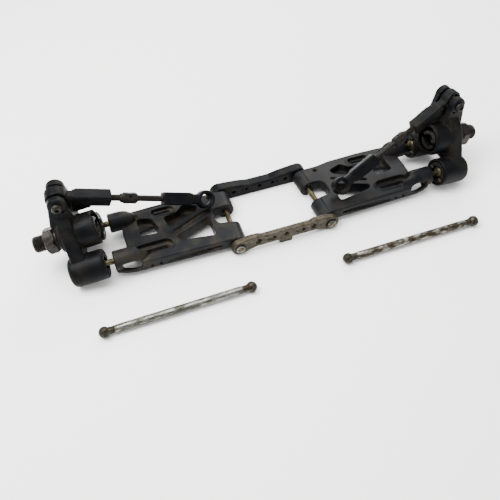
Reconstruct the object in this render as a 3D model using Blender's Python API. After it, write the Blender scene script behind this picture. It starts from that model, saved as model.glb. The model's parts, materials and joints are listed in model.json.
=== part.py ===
"""Rear suspension set of a large-scale radio-controlled truck, lying on a table.

Two lower arms swing on steel hinge pins held between two holders. Each arm carries a hub
carrier on two pillow balls, each hub carries an axle with a wheel hex, and an adjustable
camber link hangs from the top of each hub. Two loose drive shafts lie in front.

Frame: origin under the centre tab of the near holder, where it stands on the table.
+X runs along the set, +Y away from the near holder towards the far one, +Z up.
Sizes below are millimetres; meshes are made in metres.
"""
import math

import bmesh
import bpy
from mathutils import Matrix, Vector

MM = 0.001
GAP = 0.3

# hinge pins and their holders
PIN_R = 2.0
PIN_Z = 6.5
PIN_NEAR = (36.5, -4.0)
PIN_FAR = (33.1, 62.0)
HOLDER_T = 4.4
NEAR_HOLDER_Y = (-HOLDER_T / 2, HOLDER_T / 2)
FAR_HOLDER_Y = (54.6, 63.0)
LOBE_R = 6.4

# lower arm
ARM_LOW = 4.2
ARM_TOP = 13.6
INNER_BOSS_R = 6.5
NEAR_BOSS_Y = (2.7, 20.5)
FAR_BOSS_Y = (37.2, 53.3)
OUTER_BOSS_R = 7.2
STUD_R = 2.2
DROOP_XY = (44.5, 48.6)

# hub carrier, in its own frame: s outboard along the axle, t along the ball line, w up
TOE = math.radians(6.9)
TILT = math.radians(10.8)
BALL_HALF = 18.3
BALL_R = 6.4
CUP_R = 10.9
CUP_IN = -7.0
CUP_OUT = 19.0
AXLE_W = 19.0
CLEVIS = (8.8, 10.5, 47.2)
EAR_R = 6.4
EAR_T = 5.0
EYE_GAP = 11.4
FLOOR_CLEAR = 0.05
BALL_Z = CUP_R * math.cos(TILT) + CUP_OUT * math.sin(TILT) + FLOOR_CLEAR
HUB_XY = (136.3, 30.15)

# axle, drive cup and wheel hex, along s
SHROUD_IN = -9.8
SHROUD_R = 12.4
BOSS_R = 11.6
BOSS_OUT = 18.0
BEARING_R = 8.0
BEARING_W = 5.0
AXLE_R = 4.0
DRIVE_CUP_R = 7.6
HEX_FLATS = 17.0
HEX_IN = 18.8
HEX_OUT = 28.0
NOSE_R = 6.0
NOSE_OUT = 36.6

# camber link, along its own x from the clevis ball
LINK_LENGTH = 109.5
OUTER_EYE_R = 8.0
INNER_EYE_R = 6.8
OUTER_EYE_W = 7.4
INNER_EYE_W = 8.0
NECK_HALF = 3.7
BODY_HALF = 4.6
BODY_FROM = 12.5
OUTER_END = 37.5
HEX_RUN = (46.0, 56.5)
INNER_START = 76.0
ROD_BORE = 16.0
LEFT_LINK_END_Y = 40.5
RIGHT_LINK_END_Y = 18.1
EYE_ROLL = math.radians(45.0)
LINK_REST_Z = ARM_TOP + (INNER_EYE_R + INNER_EYE_W / 2) * math.sin(EYE_ROLL) + 2 * GAP

# loose drive shafts: centre of each end ball, on the table
DOG_BALL_R = 4.0
DOG_SHAFT_R = 3.2
DOG_PIN_R = 1.25
PIN_TURN = math.radians(58.0)
PIN_HALF_ON_TABLE = (DOG_BALL_R - DOG_PIN_R * math.sin(PIN_TURN)) / math.cos(PIN_TURN)
LEFT_DOG = ((-145.8, -37.4), (-40.3, -35.9))
RIGHT_DOG = ((34.6, -35.9), (139.8, -35.5))


def clear_scene():
    for obj in list(bpy.data.objects):
        bpy.data.objects.remove(obj, do_unlink=True)


def make_material(name, colour, roughness, metallic):
    material = bpy.data.materials.new(name)
    material.use_nodes = True
    shader = material.node_tree.nodes["Principled BSDF"]
    shader.inputs["Base Color"].default_value = (*colour, 1.0)
    shader.inputs["Roughness"].default_value = roughness
    shader.inputs["Metallic"].default_value = metallic
    return material


# ---------------------------------------------------------------- mesh building

def turned(profile, segments=20, ring=False):
    """Spin (along, radius) points about x. A ring profile closes on itself."""
    bm = bmesh.new()
    rings = []
    for along, radius in profile:
        if radius < 1e-6:
            rings.append([bm.verts.new((along, 0, 0))])
            continue
        turns = [2 * math.pi * (i + 0.5) / segments for i in range(segments)]
        rings.append([bm.verts.new((along, radius * math.cos(a), radius * math.sin(a))) for a in turns])
    followers = rings[1:] + rings[:1] if ring else rings[1:]
    for one, two in zip(rings, followers):
        for i in range(segments):
            j = (i + 1) % segments
            corners = [one[i % len(one)], two[i % len(two)], two[j % len(two)], one[j % len(one)]]
            bm.faces.new(list(dict.fromkeys(corners)))
    bmesh.ops.recalc_face_normals(bm, faces=bm.faces)
    return bm


def prism(outline, low, high):
    """Extrude an (x, y) outline from z = low to z = high."""
    bm = bmesh.new()
    base = bm.faces.new([bm.verts.new((x, y, low)) for x, y in outline])
    raised = bmesh.ops.extrude_face_region(bm, geom=[base])["geom"]
    lifted = [v for v in raised if isinstance(v, bmesh.types.BMVert)]
    bmesh.ops.translate(bm, verts=lifted, vec=(0, 0, high - low))
    bmesh.ops.recalc_face_normals(bm, faces=bm.faces)
    return bm


def arc(centre, radius, start, end, steps):
    """Points along a circle from start to end, in degrees."""
    angles = [math.radians(start + (end - start) * i / steps) for i in range(steps + 1)]
    return [(centre[0] + radius * math.cos(a), centre[1] + radius * math.sin(a)) for a in angles]


def slot(centre, half_length, radius, steps=4):
    """A round-ended slot along x."""
    x, y = centre
    right = arc((x + half_length, y), radius, -90, 90, steps)
    left = arc((x - half_length, y), radius, 90, 270, steps)
    return right + left


def frame_of(origin, x_axis, y_axis, z_axis):
    frame = Matrix.Identity(4)
    for column, axis in enumerate((x_axis, y_axis, z_axis, origin)):
        for row in range(3):
            frame[row][column] = axis[row]
    return frame


def frame_along(start, end, roll=0.0):
    """x from start to end, y level, then rolled about x."""
    x_axis = (Vector(end) - Vector(start)).normalized()
    side = Vector((0, 0, 1)) if abs(x_axis.z) < 0.99 else Vector((-1, 0, 0))
    y_axis = side.cross(x_axis).normalized()
    z_axis = x_axis.cross(y_axis)
    return frame_of(Vector(start), x_axis, y_axis, z_axis) @ Matrix.Rotation(roll, 4, "X")


def put(name, bm, material, frame=None):
    """Make an object from a millimetre bmesh, placed by a millimetre frame."""
    if frame is not None:
        bm.transform(frame)
        if frame.determinant() < 0:
            bmesh.ops.reverse_faces(bm, faces=bm.faces)
    bm.transform(Matrix.Scale(MM, 4))
    mesh = bpy.data.meshes.new(name)
    bm.to_mesh(mesh)
    bm.free()
    mesh.materials.append(material)
    obj = bpy.data.objects.new(name, mesh)
    bpy.context.collection.objects.link(obj)
    return obj


def combine(obj, bm, operation, frame=None):
    """Union with, or cut by, another closed shape."""
    tool = put("tool", bm, obj.data.materials[0], frame)
    modifier = obj.modifiers.new("shape", "BOOLEAN")
    modifier.solver = "EXACT"
    modifier.operation = operation
    modifier.object = tool
    graph = bpy.context.evaluated_depsgraph_get()
    made = bpy.data.meshes.new_from_object(obj.evaluated_get(graph))
    obj.modifiers.clear()
    old = obj.data
    obj.data = made
    bpy.data.meshes.remove(old)
    bpy.data.objects.remove(tool, do_unlink=True)
    return obj


def add(obj, bm, frame=None):
    return combine(obj, bm, "UNION", frame)


def cut(obj, bm, frame=None):
    return combine(obj, bm, "DIFFERENCE", frame)


def rod(start, end, radius, segments=16):
    """A plain cylinder and the frame that puts it from start to end."""
    length = (Vector(end) - Vector(start)).length
    shape = turned([(0, 0), (0, radius), (length, radius), (length, 0)], segments)
    return shape, frame_along(start, end)


def ball_profile(radius, steps, first=-90, last=90):
    angles = [math.radians(first + (last - first) * i / steps) for i in range(steps + 1)]
    return [(radius * math.sin(a), max(radius * math.cos(a), 0.0)) for a in angles]


def mirror_left(obj, name):
    """The left-hand twin of a right-hand piece."""
    mesh = obj.data.copy()
    mesh.transform(Matrix.Scale(-1, 4, (1, 0, 0)))
    mesh.flip_normals()
    twin = bpy.data.objects.new(name, mesh)
    bpy.context.collection.objects.link(twin)
    return twin


# ---------------------------------------------------------------- frames

HINGE_NEAR = Vector((PIN_NEAR[0], PIN_NEAR[1], PIN_Z))
HINGE_FAR = Vector((PIN_FAR[0], PIN_FAR[1], PIN_Z))


def pin_point(y):
    """The right hinge pin's centre at a depth y."""
    share = (y - HINGE_NEAR.y) / (HINGE_FAR.y - HINGE_NEAR.y)
    return HINGE_NEAR.lerp(HINGE_FAR, share)


def hub_frame():
    outboard = Vector((math.cos(TOE), math.sin(TOE), 0))
    ball_line = Vector((-math.sin(TOE), math.cos(TOE), 0))
    up = Vector((0, 0, 1))
    s_axis = outboard * math.cos(TILT) - up * math.sin(TILT)
    w_axis = outboard * math.sin(TILT) + up * math.cos(TILT)
    return frame_of(Vector((*HUB_XY, BALL_Z)), s_axis, ball_line, w_axis)


HUB = hub_frame()


def along_s(t, w):
    """A frame whose x lies along the hub's s axis."""
    return HUB @ Matrix.Translation((0, t, w))


def along_t(s, w):
    """A frame whose x lies along the hub's ball line and y along w."""
    turn = frame_of(Vector((s, 0, w)), Vector((0, 1, 0)), Vector((0, 0, 1)), Vector((1, 0, 0)))
    return HUB @ turn


def plate_sw(outline, t_low, t_high):
    """A plate drawn in (s, w), thick along t."""
    shape = prism(outline, -t_high, -t_low)
    turn = frame_of(Vector((0, 0, 0)), Vector((1, 0, 0)), Vector((0, 0, 1)), Vector((0, -1, 0)))
    return shape, HUB @ turn


def plate_tw(outline, s_low, s_high):
    """A plate drawn in (t, w), thick along s."""
    shape = prism(outline, s_low, s_high)
    turn = frame_of(Vector((0, 0, 0)), Vector((0, 1, 0)), Vector((0, 0, 1)), Vector((1, 0, 0)))
    return shape, HUB @ turn


# ---------------------------------------------------------------- holders and pins

def holder_plate(outline, y_low, y_high):
    """A plate drawn in (x, z), thick along y."""
    shape = prism(outline, -y_high, -y_low)
    turn = frame_of(Vector((0, 0, 0)), Vector((1, 0, 0)), Vector((0, 0, 1)), Vector((0, -1, 0)))
    return shape, turn


def both_sides(half):
    """From a point on the centre line down the right side, then back up its mirror image."""
    return half + [(-x, z) for x, z in reversed(half[1:])]


def near_holder(material):
    lobe = (pin_point(0).x, PIN_Z)
    half = [(0, 12.8), (19.6, 12.8), (22.0, 14.2), (28.6, 14.4)]
    half += arc(lobe, LOBE_R, 68, -90, 9)
    half += [(24.0, 3.8), (5.2, 3.8), (4.8, 0.0)]
    outline = both_sides(half)
    shape, frame = holder_plate(outline, -HOLDER_T / 2, HOLDER_T / 2)
    obj = put("near_hinge_pin_holder", shape, material, frame)
    for side in (-1, 1):
        for hole in (slot((side * 11.6, 8.6), 1.6, 1.7), arc((side * 22.1, 8.8), 1.8, 0, 330, 11)):
            shape, frame = holder_plate(hole, -9, 9)
            cut(obj, shape, frame)
        shape, frame = holder_plate(arc(lobe_at(side), 3.8, 0, 337.5, 15), -9, 9)
        cut(obj, shape, frame)
    shape, frame = holder_plate(arc((0, 8.8), 1.5, 0, 330, 11), -9, 9)
    return cut(obj, shape, frame)


def lobe_at(side, y=0.0):
    return (side * pin_point(y).x, PIN_Z)


def far_holder(material):
    mid = sum(FAR_HOLDER_Y) / 2
    lobe = (pin_point(mid).x, PIN_Z)
    half = [(0, 9.6), (9.0, 9.6), (16.5, 11.4), (26.0, 12.4)]
    half += arc(lobe, LOBE_R + 0.1, 88, -90, 9)
    half += [(24.0, 0.0)]
    shape, frame = holder_plate(both_sides(half), *FAR_HOLDER_Y)
    obj = put("far_hinge_pin_holder", shape, material, frame)
    for x, radius in ((-22, 1.7), (22, 1.7), (0, 1.7), (-11, 1.4), (11, 1.4)):
        shape, frame = holder_plate(arc((x, 6.3), radius, 0, 330, 11), 50, 70)
        cut(obj, shape, frame)
    for side in (-1, 1):
        shape, frame = holder_plate(arc(lobe_at(side, mid), 3.8, 0, 337.5, 15), 50, 70)
        cut(obj, shape, frame)
    return obj


def hinge_pin(material):
    shape, frame = rod(HINGE_NEAR, HINGE_FAR, PIN_R)
    return put("right_inner_hinge_pin", shape, material, frame)


def bushing(name, y_span, material):
    """A plastic bushing between a pin and its holder."""
    start, end = (pin_point(y) for y in y_span)
    length = (end - start).length
    ring = turned([(0, PIN_R + GAP), (0, 3.4), (length, 3.4), (length, PIN_R + GAP)], 16, ring=True)
    return put(name, ring, material, frame_along(start, end))


def pin_clip(material):
    """The retaining ring on the pin's near end, outside its holder."""
    start, end = pin_point(-3.4), pin_point(-2.6)
    ring = turned([(0, PIN_R + GAP), (0, 4.4), (0.8, 4.4), (0.8, PIN_R + GAP)], 16, ring=True)
    return put("right_pin_clip", ring, material, frame_along(start, end))


# ---------------------------------------------------------------- lower arm

def lower_arm(material):
    outline = [
        (37.0, 2.7), (112.0, 4.6), (113.5, 20.5), (114.4, 21.5), (114.4, 40.5), (112.5, 42.0),
        (112.5, 55.2), (84.0, 56.0), (60.0, 55.4), (47.0, 53.3), (34.0, 53.3), (35.0, 37.2),
        (44.0, 36.2), (46.0, 33.5), (46.0, 24.5), (44.0, 21.5), (36.0, 20.5),
    ]
    obj = put("right_lower_arm", prism(outline, ARM_LOW, ARM_TOP), material)
    for low, high in (NEAR_BOSS_Y, FAR_BOSS_Y):
        shape, frame = rod(pin_point(low), pin_point(high), INNER_BOSS_R)
        add(obj, shape, frame)
    for y, x_end in ((ball_y(-1), 126.6), (ball_y(1), 122.2)):
        shape, frame = rod((104.0, y, BALL_Z), (x_end, y, BALL_Z), OUTER_BOSS_R)
        add(obj, shape, frame)
    windows = (
        [(102.6, 28.8), (102.0, 46.8), (91.6, 43.2), (88.0, 31.5), (89.6, 27.9)],
        [(78.6, 19.6), (76.4, 15.6), (50.0, 11.4), (50.0, 30.8)],
        [(55.0, 44.6), (57.0, 39.6), (80.6, 29.6), (82.6, 41.5), (71.5, 43.2), (66.0, 48.6)],
    )
    for window in windows:
        cut(obj, prism(window, 0, 20))
    cut(obj, prism(slot((96.0, 15.2), 8.8, 2.0, 4), 0, 20))
    cut(obj, prism(slot((96.0, 15.4), 9.0, 4.6, 5), ARM_TOP - 3.2, 30))
    cut(obj, prism(slot((81.6, 48.0), 5.4, 1.6, 4), 0, 20))
    side_recess = [(52.0, 7.0), (76.0, 6.4), (88.0, 10.4), (56.0, 10.6)]
    shape, frame = holder_plate(side_recess, -5, 6.4)
    cut(obj, shape, frame)
    shape, frame = rod(pin_point(-6), pin_point(60), PIN_R + GAP)
    cut(obj, shape, frame)
    for y in (ball_y(-1), ball_y(1)):
        shape, frame = rod((100.0, y, BALL_Z), (130.0, y, BALL_Z), STUD_R + GAP)
        cut(obj, shape, frame)
    cut(obj, prism(arc(DROOP_XY, 1.8, 0, 330, 11), 0, 20))
    return obj


def droop_screw(material):
    shape, frame = rod((*DROOP_XY, 3.0), (*DROOP_XY, 12.4), 1.5, 14)
    return put("right_droop_screw", shape, material, frame)


def ball_y(side):
    return HUB_XY[1] + side * BALL_HALF * math.cos(TOE)


def ball_x(side):
    return HUB_XY[0] - side * BALL_HALF * math.sin(TOE)


def pillow_ball(name, side, material):
    """A ball on a threaded stud that screws into the arm's outer boss."""
    neck = 2.0
    stud = [(-29.0, 0), (-29.0, STUD_R), (-9.0, STUD_R), (-8.0, neck), (-6.1, neck)]
    profile = stud + ball_profile(BALL_R, 7, first=-70)
    frame = Matrix.Translation((ball_x(side), ball_y(side), BALL_Z))
    return put(name, turned(profile, 16), material, frame)


# ---------------------------------------------------------------- hub carrier

def hub_carrier(material):
    s, t, w = CLEVIS
    body = [(SHROUD_IN, 0), (SHROUD_IN, SHROUD_R), (4.0, SHROUD_R), (4.8, BOSS_R),
            (BOSS_OUT, BOSS_R), (BOSS_OUT, 0)]
    obj = put("right_hub_carrier", turned(body, 28), material, along_s(0, AXLE_W))
    cup = [(CUP_IN, 0), (CUP_IN, CUP_R), (CUP_OUT, CUP_R), (CUP_OUT, 0)]
    for side in (-1, 1):
        add(obj, turned(cup, 24), along_s(side * BALL_HALF, 0))
    web = [(-25.0, 2.0), (-13.0, 22.0), (-8.0, 31.0), (1.2, 38.0), (20.8, 38.0),
           (20.8, 20.0), (25.0, 2.0), (18.0, -6.0), (7.0, 4.0), (-7.0, 4.0), (-18.0, -6.0)]
    add(obj, *plate_tw(web, 4.2, 15.6))
    tower = [(1.6, 28.0), (18.0, 28.0), (20.6, 31.0)] + arc((s, w), EAR_R, 0, 180, 12) + [(1.9, 40.0)]
    gap = EYE_GAP / 2
    add(obj, *plate_sw(tower, t - gap - EAR_T, t + gap + EAR_T))
    mouth = [(-20.0, 60.0), (-20.0, 32.8), (0.0, 36.0), (3.0, 38.6), (25.0, 38.6), (25.0, 60.0)]
    cut(obj, *plate_sw(mouth, t - gap, t + gap))
    cut(obj, turned([(-12, 0), (-12, 9.8), (3.0, 9.8), (3.0, 0)], 24), along_s(0, AXLE_W))
    cut(obj, turned([(2, 0), (2, BEARING_R + GAP), (20, BEARING_R + GAP), (20, 0)], 24), along_s(0, AXLE_W))
    for side in (-1, 1):
        cavity = [(-9, 0), (-9, 8.4), (9.0, 8.4), (9.0, 0)]
        cut(obj, turned(cavity, 20), along_s(side * BALL_HALF, 0))
    cut(obj, turned([(0, 0), (0, 1.9), (40, 1.9), (40, 0)], 14), along_t(s, w) @ Matrix.Translation((-10, 0, 0)))
    return obj


def ball_cap(name, side, material):
    """A threaded cap that holds a pillow ball in its cup."""
    profile = [(-6.7, 5.5), (-6.7, 8.1), (-1.0, 8.1), (-1.0, 6.8), (-4.4, 6.8), (-4.4, 5.5)]
    return put(name, turned(profile, 18, ring=True), material, along_s(side * BALL_HALF, 0))


def bearing(name, start, material):
    end = start + BEARING_W
    inner = AXLE_R + GAP
    ring = turned([(start, inner), (start, BEARING_R), (end, BEARING_R), (end, inner)], 20, ring=True)
    return put(name, ring, material, along_s(0, AXLE_W))


def clevis_screw(material):
    s, t, w = CLEVIS
    head = t - EYE_GAP / 2 - EAR_T - GAP
    tail = t + EYE_GAP / 2 + EAR_T + 1.0
    profile = [(head - 2.6, 0), (head - 2.6, 2.4), (head - 1.6, 3.4), (head, 3.6), (head, 1.5), (tail, 1.5), (tail, 0)]
    obj = put("right_clevis_screw", turned(profile, 18), material, along_t(s, w))
    socket = [(head - 3.5, 0), (head - 3.5, 1.4), (head - 1.2, 1.4), (head - 1.2, 0)]
    return cut(obj, turned(socket, 6), along_t(s, w))


def link_ball(material):
    """The bored ball that the clevis screw holds inside the link's outer eye."""
    s, t, w = CLEVIS
    radius = 4.6
    half = EYE_GAP / 2 - GAP
    face = 2.7
    edge = math.degrees(math.asin(math.sqrt(radius ** 2 - face ** 2) / radius))
    middle = ball_profile(radius, 6, -edge, edge)
    profile = [(-half, 1.8), (-half, face)] + middle + [(half, face), (half, 1.8)]
    return put("right_link_ball", turned(profile, 16, ring=True), material,
               along_t(s, w) @ Matrix.Translation((t, 0, 0)))


# ---------------------------------------------------------------- axle

def drive_axle(material):
    """The axle with its drive cup, slotted for the drive shaft's cross pin."""
    profile = [(-9.0, 0), (-9.0, DRIVE_CUP_R), (1.6, DRIVE_CUP_R), (3.1, 5.6), (3.1, AXLE_R),
               (HEX_OUT - 2.0, AXLE_R), (HEX_OUT - 2.0, 0)]
    obj = put("right_drive_axle", turned(profile, 24), material, along_s(0, AXLE_W))
    cut(obj, turned([(-10, 0), (-10, 4.7), (-1.0, 4.7), (-1.0, 0)], 16), along_s(0, AXLE_W))
    slit = [(-10.0, AXLE_W - 1.6), (-2.0, AXLE_W - 1.6), (-2.0, AXLE_W + 1.6), (-10.0, AXLE_W + 1.6)]
    cut(obj, *plate_sw(slit, -10, 10))
    shape, frame = rod((22.0, 0, AXLE_W - 12), (22.0, 0, AXLE_W + 12), 1.5, 12)
    return cut(obj, shape, HUB @ frame)


def drive_pin(material):
    shape, frame = rod((22.0, 0, AXLE_W - 6.0), (22.0, 0, AXLE_W + 6.0), 1.2, 12)
    return put("right_hex_drive_pin", shape, material, HUB @ frame)


def wheel_hex(material):
    """The wheel hex with its threaded nose and the groove for the drive pin."""
    corner = HEX_FLATS / 2 / math.cos(math.pi / 6)
    obj = put("right_wheel_hex", turned([(HEX_IN + 1.6, 0), (HEX_IN + 1.6, corner), (HEX_OUT, corner), (HEX_OUT, 0)], 6),
              material, along_s(0, AXLE_W))
    collar = [(HEX_IN, 0), (HEX_IN, 7.4), (HEX_IN + 3.0, 7.4), (HEX_IN + 3.0, 0)]
    add(obj, turned(collar, 20), along_s(0, AXLE_W))
    nose = [(HEX_OUT - 2.0, 0), (HEX_OUT - 2.0, NOSE_R), (NOSE_OUT - 0.8, NOSE_R), (NOSE_OUT, NOSE_R - 0.8), (NOSE_OUT, 0)]
    add(obj, turned(nose, 20), along_s(0, AXLE_W))
    bore = [(HEX_IN - 2, 0), (HEX_IN - 2, AXLE_R + GAP), (HEX_OUT - 1.5, AXLE_R + GAP), (HEX_OUT - 1.5, 0)]
    cut(obj, turned(bore, 20), along_s(0, AXLE_W))
    groove = [(HEX_IN - 1, AXLE_W - 6.4), (23.6, AXLE_W - 6.4), (23.6, AXLE_W + 6.4), (HEX_IN - 1, AXLE_W + 6.4)]
    cut(obj, *plate_sw(groove, -1.6, 1.6))
    shape, frame = rod((24.8, 3.0, AXLE_W), (24.8, 14.0, AXLE_W), 1.5, 12)
    return cut(obj, shape, HUB @ frame)


def grub_screw(material):
    shape, frame = rod((24.8, 4.5, AXLE_W), (24.8, 8.2, AXLE_W), 1.2, 12)
    return put("right_hex_grub_screw", shape, material, HUB @ frame)


# ---------------------------------------------------------------- camber link

def link_frame(side, end_y):
    """From the clevis ball to the free eye, whose height follows from the link's length."""
    start = HUB @ Vector(CLEVIS)
    start.x *= side
    across = end_y - start.y
    level = math.sqrt(LINK_LENGTH ** 2 - across ** 2)
    drop = start.z - LINK_REST_Z
    end = Vector((start.x - side * math.sqrt(level ** 2 - drop ** 2), end_y, LINK_REST_Z))
    return frame_along(start, end)


def eye_shape(radius, width):
    """An eye whose hole runs along the link frame's y."""
    shape = turned([(-width / 2, 0), (-width / 2, radius), (width / 2, radius), (width / 2, 0)], 20)
    shape.transform(Matrix.Rotation(math.pi / 2, 4, "Z"))
    return shape


def rod_end(name, frame, centre, far, radius, width, hole_r, material):
    """A plastic rod end: an eye at centre and a square shank that ends at far."""
    toward = 1 if far > centre else -1
    at_eye = frame @ Matrix.Translation((centre, 0, 0))
    obj = put(name, eye_shape(radius, width), material, at_eye)
    turn = frame_of(Vector((0, 0, 0)), Vector((0, 1, 0)), Vector((0, 0, 1)), Vector((1, 0, 0)))
    for half, trim, start in ((NECK_HALF, 1.4, radius - 3.0), (BODY_HALF, 0.8, BODY_FROM)):
        section = [(-half, trim - half), (trim - half, -half), (half - trim, -half), (half, trim - half),
                   (half, half - trim), (half - trim, half), (trim - half, half), (-half, half - trim)]
        low, high = sorted((centre + toward * start, far))
        add(obj, prism(section, low, high), frame @ turn)
    cut(obj, eye_shape(hole_r, 30), at_eye)
    bore = [(far - toward * ROD_BORE, 0), (far - toward * ROD_BORE, STUD_R + GAP),
            (far + toward, STUD_R + GAP), (far + toward, 0)]
    cut(obj, turned(bore, 16), frame)
    return obj


def turnbuckle(name, frame, material):
    low, high = HEX_RUN
    start, end = OUTER_END - 14.0, INNER_START + 12.0
    profile = [(start, 0), (start, STUD_R), (end, STUD_R), (end, 0)]
    obj = put(name, turned(profile, 18), material, frame)
    return add(obj, turned([(low, 0), (low, 4.2), (high, 4.2), (high, 0)], 6), frame)


# ---------------------------------------------------------------- loose drive shafts

def drive_shaft(name, ends, material):
    start, end = (Vector((x, y, DOG_BALL_R)) for x, y in ends)
    length = (end - start).length
    neck = ball_profile(DOG_BALL_R, 6, -90, 60)
    other = [(length - along, radius) for along, radius in reversed(neck)]
    profile = neck + [(6.0, DOG_SHAFT_R), (length - 6.0, DOG_SHAFT_R)] + other
    obj = put(name, turned(profile, 14), material, frame_along(start, end))
    for along in (0, length):
        shape = rod((along, 0, -9), (along, 0, 9), DOG_PIN_R + GAP, 12)
        cut(obj, shape[0], frame_along(start, end, PIN_TURN) @ shape[1])
    return obj


def cross_pin(name, ends, at_end, material):
    """The pin through an end ball, turned until its lower tip meets the table."""
    start, end = (Vector((x, y, DOG_BALL_R)) for x, y in ends)
    along = (end - start).length if at_end else 0
    half = PIN_HALF_ON_TABLE
    shape, turn = rod((along, 0, -half), (along, 0, half), DOG_PIN_R, 12)
    return put(name, shape, material, frame_along(start, end, PIN_TURN) @ turn)


# ---------------------------------------------------------------- assembly

def body(name, point, parent=None):
    """An empty on a joint's axis that carries one moving body."""
    empty = bpy.data.objects.new(name, None)
    bpy.context.collection.objects.link(empty)
    at = Vector(point) * MM
    empty.location = at
    if parent is not None:
        empty.parent = parent
        empty.location = at - Vector(parent["at"])
    empty["at"] = at
    return empty


def carry(empty, pieces):
    at = Vector(empty["at"])
    for piece in pieces:
        piece.data.transform(Matrix.Translation(-at))
        piece.parent = empty


def main():
    clear_scene()
    nylon = make_material("black_nylon", (0.022, 0.023, 0.026), 0.5, 0.0)
    steel = make_material("steel", (0.42, 0.36, 0.25), 0.35, 1.0)
    bright = make_material("bright_steel", (0.55, 0.54, 0.5), 0.35, 1.0)
    dark = make_material("dark_steel", (0.12, 0.11, 0.1), 0.4, 1.0)
    alloy = make_material("worn_aluminium", (0.42, 0.34, 0.28), 0.42, 1.0)

    near_holder(alloy)
    far_holder(nylon)
    side_pieces = {
        "frame": [hinge_pin(steel), bushing("right_near_pin_bushing", NEAR_HOLDER_Y, nylon),
                  bushing("right_far_pin_bushing", FAR_HOLDER_Y, nylon), pin_clip(bright)],
        "arm": [lower_arm(nylon), droop_screw(dark), pillow_ball("right_near_pillow_ball", -1, steel),
                pillow_ball("right_far_pillow_ball", 1, steel)],
        "hub": [hub_carrier(nylon), ball_cap("right_near_ball_cap", -1, dark), ball_cap("right_far_ball_cap", 1, dark),
                bearing("right_inner_bearing", 3.4, bright), bearing("right_outer_bearing", 12.8, bright),
                clevis_screw(dark), link_ball(steel)],
        "axle": [drive_axle(dark), drive_pin(bright), wheel_hex(alloy), grub_screw(dark)],
    }
    left_pieces = {}
    for group, pieces in side_pieces.items():
        left_pieces[group] = [mirror_left(piece, piece.name.replace("right_", "left_")) for piece in pieces]

    for side, word, pieces, end_y, dog in (
            (1, "right", side_pieces, RIGHT_LINK_END_Y, RIGHT_DOG),
            (-1, "left", left_pieces, LEFT_LINK_END_Y, LEFT_DOG)):
        flip = Vector((side, 1, 1))
        arm = body(word + "_arm_hinge", pin_point(HUB_XY[1]) * flip)
        hub = body(word + "_hub_hinge", Vector((*HUB_XY, BALL_Z)) * flip, arm)
        axle = body(word + "_axle_spin", (HUB @ Vector((0, 0, AXLE_W))) * flip, hub)
        link_point = (HUB @ Vector(CLEVIS)) * flip
        link = body(word + "_link_swing", link_point, hub)
        carry(arm, pieces["arm"])
        carry(hub, pieces["hub"])
        carry(axle, pieces["axle"])
        frame = link_frame(side, end_y)
        outer = rod_end(word + "_outer_rod_end", frame, 0.0, OUTER_END, OUTER_EYE_R, OUTER_EYE_W, 5.0, nylon)
        inner_frame = frame @ Matrix.Rotation(EYE_ROLL * side, 4, "X")
        inner = rod_end(word + "_inner_rod_end", inner_frame, LINK_LENGTH, INNER_START, INNER_EYE_R, INNER_EYE_W, 3.8,
                        nylon)
        screw = turnbuckle(word + "_turnbuckle", frame, dark)
        carry(link, [outer, inner, screw])
        drive_shaft(word + "_drive_shaft", dog, bright)
        cross_pin(word + "_inner_cross_pin", dog, side < 0, dark)
        cross_pin(word + "_outer_cross_pin", dog, side > 0, dark)

    for obj in bpy.data.objects:
        if obj.type == "MESH":
            obj.data.shade_smooth()
            obj.data.set_sharp_from_angle(angle=math.radians(35))


main()
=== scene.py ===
"""The finished look of a radio-controlled truck's rear suspension set, built round its CAD frame.

Shapes are drawn in millimetres in each piece's own frame and stored in metres. The right-hand
hub frame has s outboard along the axle, t along the line through the two pillow balls and w up.
"""
import json
import math

import bmesh
import bpy
from mathutils import Matrix, Vector, noise


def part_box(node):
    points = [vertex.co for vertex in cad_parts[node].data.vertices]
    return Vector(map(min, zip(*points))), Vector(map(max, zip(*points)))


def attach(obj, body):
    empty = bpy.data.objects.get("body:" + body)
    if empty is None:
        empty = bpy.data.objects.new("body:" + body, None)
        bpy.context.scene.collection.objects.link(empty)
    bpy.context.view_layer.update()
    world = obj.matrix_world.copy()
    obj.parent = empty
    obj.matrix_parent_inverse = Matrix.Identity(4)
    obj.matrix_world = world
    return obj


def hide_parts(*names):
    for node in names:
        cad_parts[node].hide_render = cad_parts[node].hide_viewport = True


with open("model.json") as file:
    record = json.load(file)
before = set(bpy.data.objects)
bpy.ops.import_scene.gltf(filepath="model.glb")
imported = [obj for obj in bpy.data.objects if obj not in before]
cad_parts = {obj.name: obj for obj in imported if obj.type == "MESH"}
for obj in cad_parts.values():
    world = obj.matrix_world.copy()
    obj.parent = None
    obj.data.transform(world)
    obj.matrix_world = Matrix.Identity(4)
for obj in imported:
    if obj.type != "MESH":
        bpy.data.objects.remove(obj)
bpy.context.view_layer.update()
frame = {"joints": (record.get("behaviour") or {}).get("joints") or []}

MM = 0.001
GAP = 0.3  # clearance round what turns
JOINTS = {joint["name"]: joint for joint in frame["joints"]}
SIDES = (("right", 1), ("left", -1))


# ---------------------------------------------------------------- places read from the frame

def pivot(name):
    return Vector(JOINTS[name]["pos_m"]) / MM


def axis(name):
    return Vector(JOINTS[name]["axis"]).normalized()


def middle(node):
    low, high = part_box(node)
    return (low + high) / 2 / MM


def frame_of(origin, x_axis, y_axis, z_axis):
    made = Matrix.Identity(4)
    for column, direction in enumerate((x_axis, y_axis, z_axis, origin)):
        for row in range(3):
            made[row][column] = direction[row]
    return made


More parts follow.
